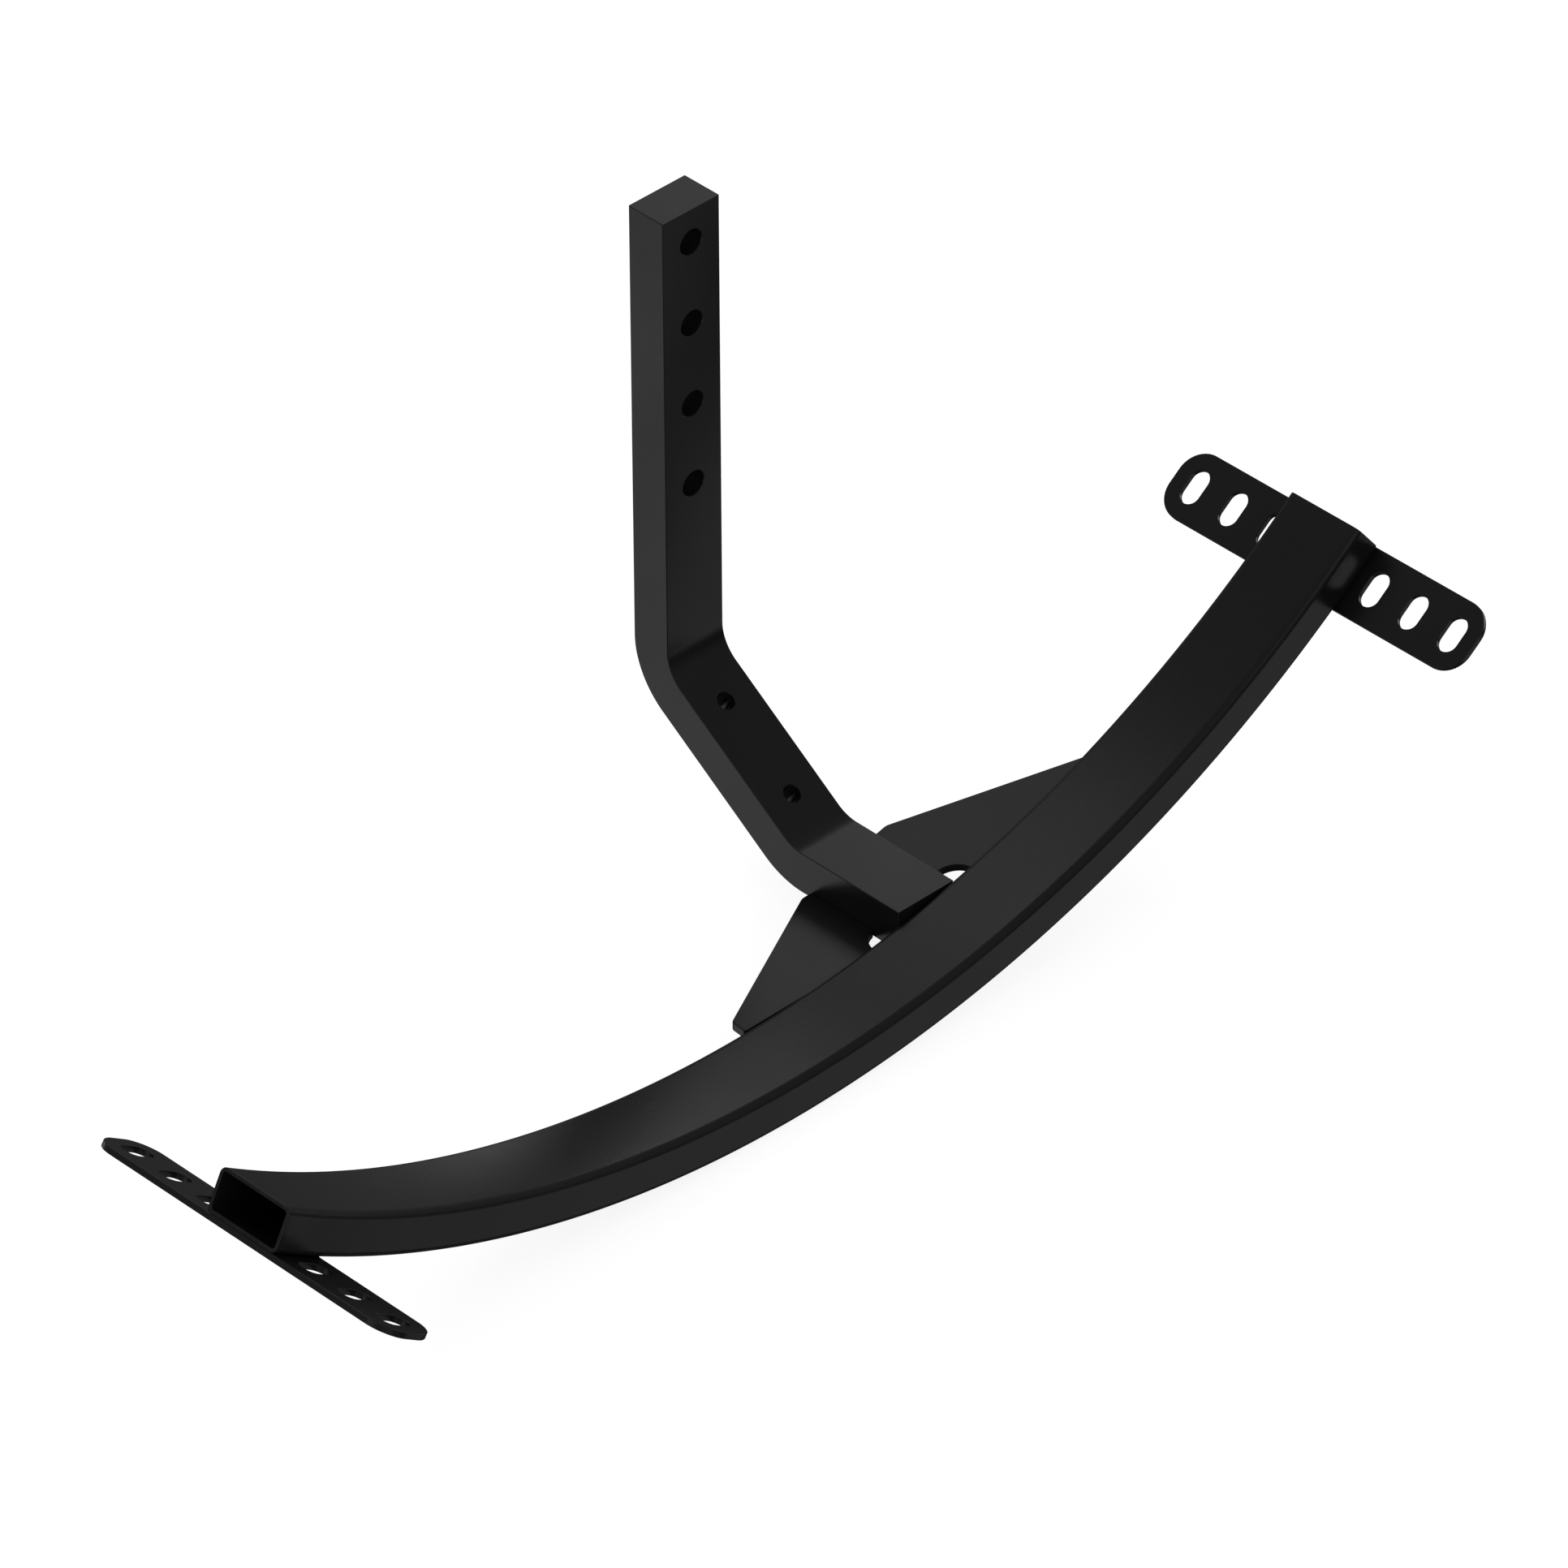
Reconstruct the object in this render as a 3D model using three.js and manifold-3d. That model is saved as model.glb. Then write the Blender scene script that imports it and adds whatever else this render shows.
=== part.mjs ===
// Weight distribution hitch: a welded frame of six fabricated pieces and the beads that join them.
// A bowed rectangular tube carries a slotted plate under each end and, off its middle, a bent shank
// with a gusset wing on either side. All sizes are in millimetres and +Z is up.
import * as THREE from 'three';
import Module from 'manifold-3d';
import { mergeVertices } from 'three/addons/utils/BufferGeometryUtils.js';

const wasm = await Module();
wasm.setup();

// ---- driving dimensions ----------------------------------------------------------------------
const GAP = 0.3;                 // clearance left between pieces that are welded together

const TUBE_WIDTH = 63.5;         // tube section across the bow, along Y
const TUBE_HEIGHT = 31.75;       // tube section along the bow's radius
const TUBE_WALL = 2.8;
const TUBE_CORNER = 5.2;         // outside corner radius of the tube
const TUBE_REAR_Y = -0.6;        // the tube's rear face
const BOW_INNER_R = 803.5;       // radius of the tube's concave face
const BOW_CENTRE_X = -166.6;     // bow centre, from the shank's middle plane
const BOW_CENTRE_Z = 814.85;     // bow centre, above the underside of the shank's foot
const BOW_LEFT_DEG = -33.9;      // angle of the left end, from straight down
const BOW_RIGHT_DEG = 38.97;     // angle of the right end
const LEFT_CUT_SKEW_DEG = 6.5;   // the left end is cut this far out of square
const BOW_STEPS = 42;

const PLATE_LENGTH = 274.4;      // end plates, along Y
const PLATE_WIDTH = 50.8;        // along the tube
const PLATE_THICK = 4.5;
const PLATE_CORNER = 19.5;
const SLOT_WIDTH = 15.4;
const SLOT_LENGTH = 26.2;
const SLOT_OFFSETS = [47.4, 82.8, 118.3];   // slot centres, each side of the plate's middle
const LEFT_PLATE_DEG = -33.6;    // slope of each plate, and its middle along that slope and in Y
const LEFT_PLATE_SHIFT = -21.6;
const LEFT_PLATE_Y = -30.3;
const RIGHT_PLATE_DEG = 37.2;
const RIGHT_PLATE_SHIFT = 0.0;
const RIGHT_PLATE_Y = -31.9;

const SHANK_WIDTH = 50.8;        // solid bar, along X
const SHANK_THICK = 31.75;
const SHANK_TOP = 469.9;         // top face, above the foot's underside
const SHANK_FRONT_Y = 216.6;     // front face of the upright part, from the tube's rear face
const UPPER_BEND_Z = 113.8;      // where the front faces of upright and incline would meet
const INCLINE_DEG = 35.0;        // incline below level
const BEND_INNER_R = 30.0;
const BEND_STEPS = 10;
const BIG_HOLE_D = 19.05;
const BIG_HOLE_TOP_DROP = 25.4;  // first hole centre below the top
const BIG_HOLE_PITCH = 63.5;
const BIG_HOLE_COUNT = 4;
const SMALL_HOLE_D = 12.7;
const SMALL_HOLE_AT = [35.8, 111.8];        // along the incline from its upper corner

const WING_THICK = 6.35;         // gusset wings
const LEFT_WING_Z = 4.76;        // top face of the level left wing
const RIGHT_WING_Z = 20.0;       // top face of the right wing where it meets the shank
const RIGHT_WING_DEG = 12.95;    // its rise away from the shank
const WING_REAR_Y = 81.2;
const LEFT_WING_FRONT_Y = 4.2;
const RELIEF_R = 17.6;           // round relief between foot and tube
const RELIEF_Y = 6.0;

const BEAD_LEG = 4.0;            // fillet weld leg
const FLARE_LEG = 7.5;           // leg up the tube's rounded corner
const LEDGE_LEG = 3.2;           // leg under the foot, beside the lower left wing
const BEAD_STEPS = 4;            // steps across a bead's face
const BEAD_SWELL = 0.5;
const END_INSET = 4;             // beads stop this far short of an end plate's edges
const FOOT_INSET = 3;            // and of the foot's corners
const LEFT_SEAM = [18, 133];     // left wing to tube, from the shank's side
const RIGHT_SEAM = [28, 92];     // right wing to tube, along the wing
const WING_SEAM_Y = 28;          // where the seams between wings and foot start
const LEFT_SEAM_INSET = 6;       // and how far they stop short of the wings' rear edges
const RIGHT_SEAM_INSET = 3;
const SEAM_RECESS = 1.6;         // the left seam's fill lies this far under the wing's top
const SEAM_CROWN = 1.2;

const DRILL_OVERRUN = 15;        // cutters reach this far past the metal
const DRILL_SEGMENTS = 40;
const CUT_DEPTH = 20;

const PAINT = { color: 0x232325, roughness: 0.42, metalness: 0.35 };
const BEAD_PAINT = { color: 0x2a2a2c, roughness: 0.5, metalness: 0.35 };

const rad = (degrees) => degrees * Math.PI / 180;
const HALF_SHANK = SHANK_WIDTH / 2;
const BOW_OUTER_R = BOW_INNER_R + TUBE_HEIGHT;

// ---- solids ----------------------------------------------------------------------------------
function toManifold(geometry) {
  const bare = new THREE.BufferGeometry();
  bare.setAttribute('position', geometry.getAttribute('position').clone());
  if (geometry.index) bare.setIndex(geometry.index.clone());
  const merged = mergeVertices(bare, 1e-4);
  const mesh = new wasm.Mesh({
    numProp: 3,
    vertProperties: new Float32Array(merged.getAttribute('position').array),
    triVerts: new Uint32Array(merged.index.array),
  });
  mesh.merge();
  return new wasm.Manifold(mesh);
}

function fromManifold(solid) {
  const mesh = solid.getMesh();
  const geometry = new THREE.BufferGeometry();
  const count = mesh.vertProperties.length / mesh.numProp;
  const positions = new Float32Array(count * 3);
  for (let i = 0; i < count; i += 1) {
    const start = i * mesh.numProp;
    positions.set(mesh.vertProperties.subarray(start, start + 3), 3 * i);
  }
  geometry.setAttribute('position', new THREE.BufferAttribute(positions, 3));
  geometry.setIndex(new THREE.BufferAttribute(new Uint32Array(mesh.triVerts), 1));
  geometry.computeVertexNormals();
  return geometry;
}

// A rounded polygon from corners given as {x, y, r}; arcs are drawn into every corner with r > 0.
function roundedOutline(target, corners, segments = 8) {
  const points = [];
  corners.forEach((corner, i) => {
    const before = corners[(i + corners.length - 1) % corners.length];
    const after = corners[(i + 1) % corners.length];
    const here = new THREE.Vector2(corner.x, corner.y);
    if (!corner.r) {
      points.push(here);
      return;
    }
    const a = new THREE.Vector2(before.x, before.y).sub(here).normalize();
    const b = new THREE.Vector2(after.x, after.y).sub(here).normalize();
    const half = Math.acos(THREE.MathUtils.clamp(a.dot(b), -1, 1)) / 2;
    const middle = a.clone().add(b).normalize();
    const centre = here.clone().addScaledVector(middle, corner.r / Math.sin(half));
    const start = here.clone().addScaledVector(a, corner.r / Math.tan(half)).sub(centre);
    const end = here.clone().addScaledVector(b, corner.r / Math.tan(half)).sub(centre);
    const from = Math.atan2(start.y, start.x);
    let sweep = Math.atan2(end.y, end.x) - from;
    if (sweep > Math.PI) sweep -= 2 * Math.PI;
    if (sweep < -Math.PI) sweep += 2 * Math.PI;
    for (let k = 0; k <= segments; k += 1) {
      const angle = from + sweep * k / segments;
      points.push(new THREE.Vector2(Math.cos(angle), Math.sin(angle)).multiplyScalar(corner.r).add(centre));
    }
  });
  target.setFromPoints(points);
  return target;
}

function extrude(shape, depth) {
  return new THREE.ExtrudeGeometry(shape, { depth, bevelEnabled: false });
}

// A cylinder between two points, used as a drill.
function drill(from, to, diameter) {
  const length = from.distanceTo(to);
  const geometry = new THREE.CylinderGeometry(diameter / 2, diameter / 2, length, DRILL_SEGMENTS);
  const turn = new THREE.Quaternion().setFromUnitVectors(
    new THREE.Vector3(0, 1, 0),
    to.clone().sub(from).normalize(),
  );
  geometry.applyQuaternion(turn);
  const middle = from.clone().add(to).multiplyScalar(0.5);
  geometry.translate(middle.x, middle.y, middle.z);
  return toManifold(geometry);
}

// Moves every vertex by a rule that takes and returns [x, y, z].
function remap(geometry, rule) {
  const positions = geometry.getAttribute('position');
  for (let i = 0; i < positions.count; i += 1) {
    positions.setXYZ(i, ...rule(positions.getX(i), positions.getY(i), positions.getZ(i)));
  }
  return geometry;
}

// ---- bowed tube ------------------------------------------------------------------------------
function sectionRectangle(target, inset, radius) {
  const u0 = BOW_INNER_R + inset;
  const u1 = BOW_OUTER_R - inset;
  const v0 = TUBE_REAR_Y - TUBE_WIDTH + inset;
  const v1 = TUBE_REAR_Y - inset;
  const corners = [[u0, v0], [u1, v0], [u1, v1], [u0, v1]];
  return roundedOutline(target, corners.map(([x, y]) => ({ x, y, r: radius })), 6);
}

function bowedTube() {
  const section = sectionRectangle(new THREE.Shape(), 0, TUBE_CORNER);
  section.holes.push(sectionRectangle(new THREE.Path(), TUBE_WALL, TUBE_CORNER - TUBE_WALL));
  const start = rad(BOW_LEFT_DEG);
  const span = rad(BOW_RIGHT_DEG) - start;
  const straight = new THREE.ExtrudeGeometry(section, {
    depth: 1, steps: BOW_STEPS, bevelEnabled: false,
  });
  // The skewed cut lengthens the concave side at the left end and fades out along the bow.
  const skew = Math.tan(rad(LEFT_CUT_SKEW_DEG));
  return remap(straight, (r, y, share) => {
    const lead = skew * (BOW_OUTER_R - r) / r * Math.max(0, 1 - 4 * share);
    const angle = start + span * share - lead;
    return [BOW_CENTRE_X + r * Math.sin(angle), y, BOW_CENTRE_Z - r * Math.cos(angle)];
  });
}

// ---- end plates ------------------------------------------------------------------------------
// A local frame on a plate's inner face: s outward along the plate, y, and away from the bow centre.
function endFrame(side) {
  const angle = rad(side < 0 ? LEFT_PLATE_DEG : RIGHT_PLATE_DEG);
  const shift = side < 0 ? LEFT_PLATE_SHIFT : RIGHT_PLATE_SHIFT;
  const along = new THREE.Vector3(side * Math.cos(angle), 0, side * Math.sin(angle));
  const away = new THREE.Vector3(Math.sin(angle), 0, -Math.cos(angle));
  const base = new THREE.Vector3(BOW_CENTRE_X, 0, BOW_CENTRE_Z);
  base.addScaledVector(away, BOW_OUTER_R).addScaledVector(along, shift);
  return { along, away, base, middleY: side < 0 ? LEFT_PLATE_Y : RIGHT_PLATE_Y };
}

function endPlate(side) {
  const halfWidth = PLATE_WIDTH / 2;
  const halfLength = PLATE_LENGTH / 2;
  const corners = [[-1, -1], [1, -1], [1, 1], [-1, 1]].map(([a, b]) => ({
    x: a * halfWidth, y: b * halfLength, r: PLATE_CORNER,
  }));
  const outline = roundedOutline(new THREE.Shape(), corners, 10);
  for (const offset of SLOT_OFFSETS) {
    for (const way of [-1, 1]) {
      const halfSlot = SLOT_LENGTH / 2;
      const slotCorners = [[-1, -1], [1, -1], [1, 1], [-1, 1]].map(([a, b]) => ({
        x: a * halfSlot, y: way * offset + b * SLOT_WIDTH / 2, r: SLOT_WIDTH / 2 - 0.001,
      }));
      outline.holes.push(roundedOutline(new THREE.Path(), slotCorners, 8));
    }
  }
  // The outline is turned over, so that the plate grows away from the tube's convex face.
  const { along, away, base, middleY } = endFrame(side);
  return remap(extrude(outline, PLATE_THICK), (s, y, w) => {
    const depth = GAP + PLATE_THICK - w;
    return [
      base.x + along.x * s * side + away.x * depth,
      y + middleY,
      base.z + along.z * s * side + away.z * depth,
    ];
  });
}

// ---- shank -----------------------------------------------------------------------------------
const SLOPE = rad(INCLINE_DEG);
const LOWER_BEND_Y = SHANK_FRONT_Y - (UPPER_BEND_Z - SHANK_THICK) / Math.tan(SLOPE);

// Adds one bend to a side outline: an arc about a centre, from one face direction to the next.
function bendPoints(centre, radius, fromDeg, toDeg) {
  const points = [];
  for (let k = 0; k <= BEND_STEPS; k += 1) {
    const angle = rad(fromDeg + (toDeg - fromDeg) * k / BEND_STEPS);
    points.push(new THREE.Vector2(centre.x + radius * Math.cos(angle), centre.y + radius * Math.sin(angle)));
  }
  return points;
}

// Bend centres lie on the open side of each bend, so both faces of the bar share them.
function bendCentres() {
  const upper = new THREE.Vector2(
    SHANK_FRONT_Y - BEND_INNER_R,
    UPPER_BEND_Z + BEND_INNER_R * Math.tan((Math.PI / 2 - SLOPE) / 2),
  );
  const lower = new THREE.Vector2(
    LOWER_BEND_Y - BEND_INNER_R * Math.tan(SLOPE / 2),
    SHANK_THICK + BEND_INNER_R,
  );
  return { upper, lower };
}

function shank() {
  const { upper, lower } = bendCentres();
  const outer = BEND_INNER_R + SHANK_THICK;
  const side = [
    new THREE.Vector2(TUBE_REAR_Y + GAP, 0),
    ...bendPoints(lower, outer, -90, -90 + INCLINE_DEG),
    ...bendPoints(upper, outer, -90 + INCLINE_DEG, 0),
    new THREE.Vector2(SHANK_FRONT_Y + SHANK_THICK, SHANK_TOP),
    new THREE.Vector2(SHANK_FRONT_Y, SHANK_TOP),
    ...bendPoints(upper, BEND_INNER_R, 0, -90 + INCLINE_DEG),
    ...bendPoints(lower, BEND_INNER_R, -90 + INCLINE_DEG, -90),
    new THREE.Vector2(TUBE_REAR_Y + GAP, SHANK_THICK),
  ];
  const bar = extrude(new THREE.Shape(side), SHANK_WIDTH);
  remap(bar, (y, z, x) => [x - HALF_SHANK, y, z]);
  let solid = toManifold(bar);
  for (let i = 0; i < BIG_HOLE_COUNT; i += 1) {
    const z = SHANK_TOP - BIG_HOLE_TOP_DROP - i * BIG_HOLE_PITCH;
    const from = new THREE.Vector3(0, SHANK_FRONT_Y - DRILL_OVERRUN, z);
    const to = new THREE.Vector3(0, SHANK_FRONT_Y + SHANK_THICK + DRILL_OVERRUN, z);
    solid = solid.subtract(drill(from, to, BIG_HOLE_D));
  }
  const inward = new THREE.Vector3(0, Math.sin(SLOPE), -Math.cos(SLOPE));
  for (const at of SMALL_HOLE_AT) {
    const onFace = new THREE.Vector3(
      0,
      SHANK_FRONT_Y - at * Math.cos(SLOPE),
      UPPER_BEND_Z - at * Math.sin(SLOPE),
    );
    const from = onFace.clone().addScaledVector(inward, -DRILL_OVERRUN);
    const to = onFace.clone().addScaledVector(inward, SHANK_THICK + DRILL_OVERRUN);
    solid = solid.subtract(drill(from, to, SMALL_HOLE_D));
  }
  return fromManifold(solid);
}

// ---- gusset wings ----------------------------------------------------------------------------
// Outlines are drawn as (distance from the shank's side, y). Relief circles are cut at the corner.
function wingBlank(corners, reliefU) {
  const outline = roundedOutline(new THREE.Shape(), corners, 8);
  const blank = toManifold(extrude(outline, WING_THICK));
  const cutter = new THREE.CylinderGeometry(RELIEF_R, RELIEF_R, WING_THICK * 3, 48);
  cutter.rotateX(Math.PI / 2);
  cutter.translate(reliefU, RELIEF_Y, WING_THICK / 2);
  const corner = new THREE.BoxGeometry(RELIEF_R, RELIEF_Y + CUT_DEPTH, WING_THICK * 3);
  corner.translate(reliefU - RELIEF_R / 2, (RELIEF_Y - CUT_DEPTH) / 2, WING_THICK / 2);
  const lowSlab = new THREE.BoxGeometry(RELIEF_R * 2, CUT_DEPTH, WING_THICK * 3);
  lowSlab.translate(reliefU, RELIEF_Y - CUT_DEPTH / 2, WING_THICK / 2);
  let solid = blank.subtract(toManifold(cutter));
  solid = solid.subtract(toManifold(corner));
  solid = solid.subtract(toManifold(lowSlab));
  return fromManifold(solid);
}

const LEFT_WING = {
  relief: -3.7,
  corners: [
    { x: 0, y: LEFT_WING_FRONT_Y, r: 0 },
    { x: 135.6, y: LEFT_WING_FRONT_Y, r: 1.5 },
    { x: 134.6, y: 17.6, r: 4.5 },
    { x: 8.6, y: WING_REAR_Y, r: 8 },
    { x: 0, y: WING_REAR_Y, r: 0 },
  ],
};
const RIGHT_WING = {
  relief: 6.9,
  corners: [
    { x: 0, y: TUBE_REAR_Y + GAP, r: 0 },
    { x: 151, y: TUBE_REAR_Y + GAP, r: 1.5 },
    { x: 151, y: 12.3, r: 4.5 },
    { x: 18.2, y: WING_REAR_Y, r: 8 },
    { x: 0, y: WING_REAR_Y, r: 0 },
  ],
};

function leftWing() {
  const wing = wingBlank(LEFT_WING.corners, LEFT_WING.relief);
  // Mirroring in X is followed by turning the plate over, so that its faces still look outward.
  return remap(wing, (u, y, w) => [-(HALF_SHANK + GAP + u), y, LEFT_WING_Z - w]);
}

function rightWing() {
  const wing = wingBlank(RIGHT_WING.corners, RIGHT_WING.relief);
  const turn = rad(RIGHT_WING_DEG);
  return remap(wing, (u, y, w) => {
    const depth = w - WING_THICK;
    return [
      HALF_SHANK + GAP + u * Math.cos(turn) - depth * Math.sin(turn),
      y,
      RIGHT_WING_Z + u * Math.sin(turn) + depth * Math.cos(turn),
    ];
  });
}

// ---- weld beads ------------------------------------------------------------------------------
// A bead is a fillet with a slightly swollen face, run along a path of corner points. At each point
// two unit vectors say where the two joined faces lie; the legs grow from the corner along them.
function bead(path, longA, longB = longA) {
  const rings = path.map(({ at, legA, legB }) => {
    const ring = [at.clone()];
    for (let k = 0; k <= BEAD_STEPS; k += 1) {
      const t = k / BEAD_STEPS;
      const swell = 1 + BEAD_SWELL * t * (1 - t);
      const point = at.clone();
      point.addScaledVector(legA, longA * (1 - t) * swell);
      point.addScaledVector(legB, longB * t * swell);
      ring.push(point);
    }
    return ring;
  });
  const size = rings[0].length;
  const positions = [];
  rings.forEach((ring) => ring.forEach((p) => positions.push(p.x, p.y, p.z)));
  const index = [];
  for (let i = 0; i + 1 < rings.length; i += 1) {
    for (let k = 0; k < size; k += 1) {
      const a = i * size + k;
      const b = i * size + (k + 1) % size;
      index.push(a, b, b + size, a, b + size, a + size);
    }
  }
  const last = (rings.length - 1) * size;
  for (let k = 1; k + 1 < size; k += 1) {
    index.push(0, k + 1, k);
    index.push(last, last + k, last + k + 1);
  }
  const geometry = new THREE.BufferGeometry();
  geometry.setAttribute('position', new THREE.Float32BufferAttribute(positions, 3));
  geometry.setIndex(index);
  // The winding depends on the order of the two faces, so it is set from the enclosed volume.
  let volume = 0;
  const p = (i) => new THREE.Vector3().fromArray(positions, 3 * i);
  for (let i = 0; i < index.length; i += 3) {
    volume += p(index[i]).dot(p(index[i + 1]).cross(p(index[i + 2])));
  }
  if (volume < 0) {
    for (let i = 0; i < index.length; i += 3) {
      [index[i + 1], index[i + 2]] = [index[i + 2], index[i + 1]];
    }
    geometry.setIndex(index);
  }
  geometry.computeVertexNormals();
  return geometry;
}

// Bead along the tube's rear side, on an end plate's inner face.
function plateRearBead(side) {
  const { along, away, base } = endFrame(side);
  const half = PLATE_WIDTH / 2 - END_INSET;
  const path = [-half, half].map((s) => {
    const at = base.clone().addScaledVector(along, s).addScaledVector(away, GAP / 2);
    at.y = TUBE_REAR_Y + GAP / 2;
    return { at, legA: new THREE.Vector3(0, 1, 0), legB: away.clone().negate() };
  });
  return bead(path, BEAD_LEG, FLARE_LEG);
}

// Bead across the tube's convex face, along an end plate's inboard edge.
function plateInnerBead(side) {
  const { along, away, base } = endFrame(side);
  const inset = TUBE_CORNER + 2;
  const edge = base.clone().addScaledVector(along, -PLATE_WIDTH / 2 - GAP / 2);
  // The corner lies just outside the convex face, beside the plate's edge.
  const inward = edge.clone().sub(new THREE.Vector3(BOW_CENTRE_X, 0, BOW_CENTRE_Z));
  edge.addScaledVector(away, BOW_OUTER_R + GAP / 2 - inward.length());
  const path = [TUBE_REAR_Y - TUBE_WIDTH + inset, TUBE_REAR_Y - inset].map((y) => ({
    at: new THREE.Vector3(edge.x, y, edge.z),
    legA: inward.clone().normalize().cross(new THREE.Vector3(0, side, 0)).negate(),
    legB: away.clone(),
  }));
  return bead(path, BEAD_LEG);
}

// Bead in the gap between the left wing's front edge and the tube's rear face.
function leftWingTubeBead() {
  const x0 = -(HALF_SHANK + LEFT_SEAM[1]);
  const x1 = -(HALF_SHANK + LEFT_SEAM[0]);
  const near = TUBE_REAR_Y + GAP;
  const width = LEFT_WING_FRONT_Y - GAP - near;
  const top = LEFT_WING_Z - SEAM_RECESS;
  const bottom = LEFT_WING_Z - WING_THICK;
  const section = new THREE.Shape([
    new THREE.Vector2(near, bottom),
    new THREE.Vector2(near + width / 2, bottom - SEAM_CROWN),
    new THREE.Vector2(near + width, bottom),
    new THREE.Vector2(near + width, top),
    new THREE.Vector2(near, top),
  ]);
  const run = extrude(section, x1 - x0);
  return remap(run, (y, z, x) => [x0 + x, y, z]);
}

// Bead under the right wing, along the tube's rear face.
function rightWingTubeBead() {
  const turn = rad(RIGHT_WING_DEG);
  const down = new THREE.Vector3(Math.sin(turn), 0, -Math.cos(turn));
  const path = RIGHT_SEAM.map((u) => {
    const drop = WING_THICK + GAP / 2;
    const at = new THREE.Vector3(
      HALF_SHANK + GAP + u * Math.cos(turn) + drop * Math.sin(turn),
      TUBE_REAR_Y + GAP / 2,
      RIGHT_WING_Z + u * Math.sin(turn) - drop * Math.cos(turn),
    );
    return { at, legA: new THREE.Vector3(0, 1, 0), legB: down };
  });
  return bead(path, BEAD_LEG);
}

// Bead in the corner between the right wing's underside and the foot's side.
function rightWingShankBead() {
  const turn = rad(RIGHT_WING_DEG);
  const drop = WING_THICK + GAP;
  const path = [WING_SEAM_Y, WING_REAR_Y - RIGHT_SEAM_INSET].map((y) => ({
    at: new THREE.Vector3(HALF_SHANK + GAP / 2, y, RIGHT_WING_Z - drop / Math.cos(turn)),
    legA: new THREE.Vector3(Math.cos(turn), 0, Math.sin(turn)),
    legB: new THREE.Vector3(0, 0, -1),
  }));
  return bead(path, BEAD_LEG);
}

// Bead under the foot, against the left wing's inner edge, which stands a little lower.
function leftWingShankBead() {
  const depth = WING_THICK - LEFT_WING_Z;
  const path = [WING_SEAM_Y, WING_REAR_Y - LEFT_SEAM_INSET].map((y) => ({
    at: new THREE.Vector3(-HALF_SHANK - GAP / 2, y, -GAP / 2),
    legA: new THREE.Vector3(1, 0, 0),
    legB: new THREE.Vector3(0, 0, -1),
  }));
  return bead(path, LEDGE_LEG, depth);
}

// Bead under the foot's front end, against the tube's rear face.
function footBead() {
  const half = HALF_SHANK - FOOT_INSET;
  const path = [-half, half].map((x) => ({
    at: new THREE.Vector3(x, TUBE_REAR_Y + GAP / 2, -GAP / 2),
    legA: new THREE.Vector3(0, 1, 0),
    legB: new THREE.Vector3(0, 0, -1),
  }));
  return bead(path, BEAD_LEG);
}

// ---- assembly --------------------------------------------------------------------------------
const hitch = new THREE.Group();

function add(name, geometry, paint = PAINT) {
  const mesh = new THREE.Mesh(geometry, new THREE.MeshStandardMaterial(paint));
  mesh.name = name;
  hitch.add(mesh);
}

add('bow_tube', bowedTube());
add('end_plate_left', endPlate(-1));
add('end_plate_right', endPlate(1));
add('shank', shank());
add('gusset_left', leftWing());
add('gusset_right', rightWing());
for (const [side, label] of [[-1, 'left'], [1, 'right']]) {
  add(`weld_plate_${label}_rear`, plateRearBead(side), BEAD_PAINT);
  add(`weld_plate_${label}_inner`, plateInnerBead(side), BEAD_PAINT);
}
add('weld_gusset_left_tube', leftWingTubeBead(), BEAD_PAINT);
add('weld_gusset_right_tube', rightWingTubeBead(), BEAD_PAINT);
add('weld_gusset_left_shank', leftWingShankBead(), BEAD_PAINT);
add('weld_gusset_right_shank', rightWingShankBead(), BEAD_PAINT);
add('weld_foot_tube', footBead(), BEAD_PAINT);

// The origin is the middle of the shank's four big holes, on its front face.
const patternDrop = BIG_HOLE_TOP_DROP + BIG_HOLE_PITCH * (BIG_HOLE_COUNT - 1) / 2;
hitch.children.forEach((mesh) => {
  mesh.geometry.translate(0, -SHANK_FRONT_Y, -(SHANK_TOP - patternDrop));
});

export default hitch;
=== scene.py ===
# Weight distribution hitch: the visual model, its coating, a pale studio and the camera.
# The object's lengths are in millimetres in the welding frame (x from the shank's middle plane, y from
# just behind the tube, z from the foot's underside), and world() turns them into the row frame in
# metres. The studio's lengths are in metres, in the row frame.
from math import acos, atan2, cos, pi, radians, sin, sqrt, tan

import bmesh
import bpy
from mathutils import Matrix, Vector
from mathutils.geometry import delaunay_2d_cdt

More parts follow.
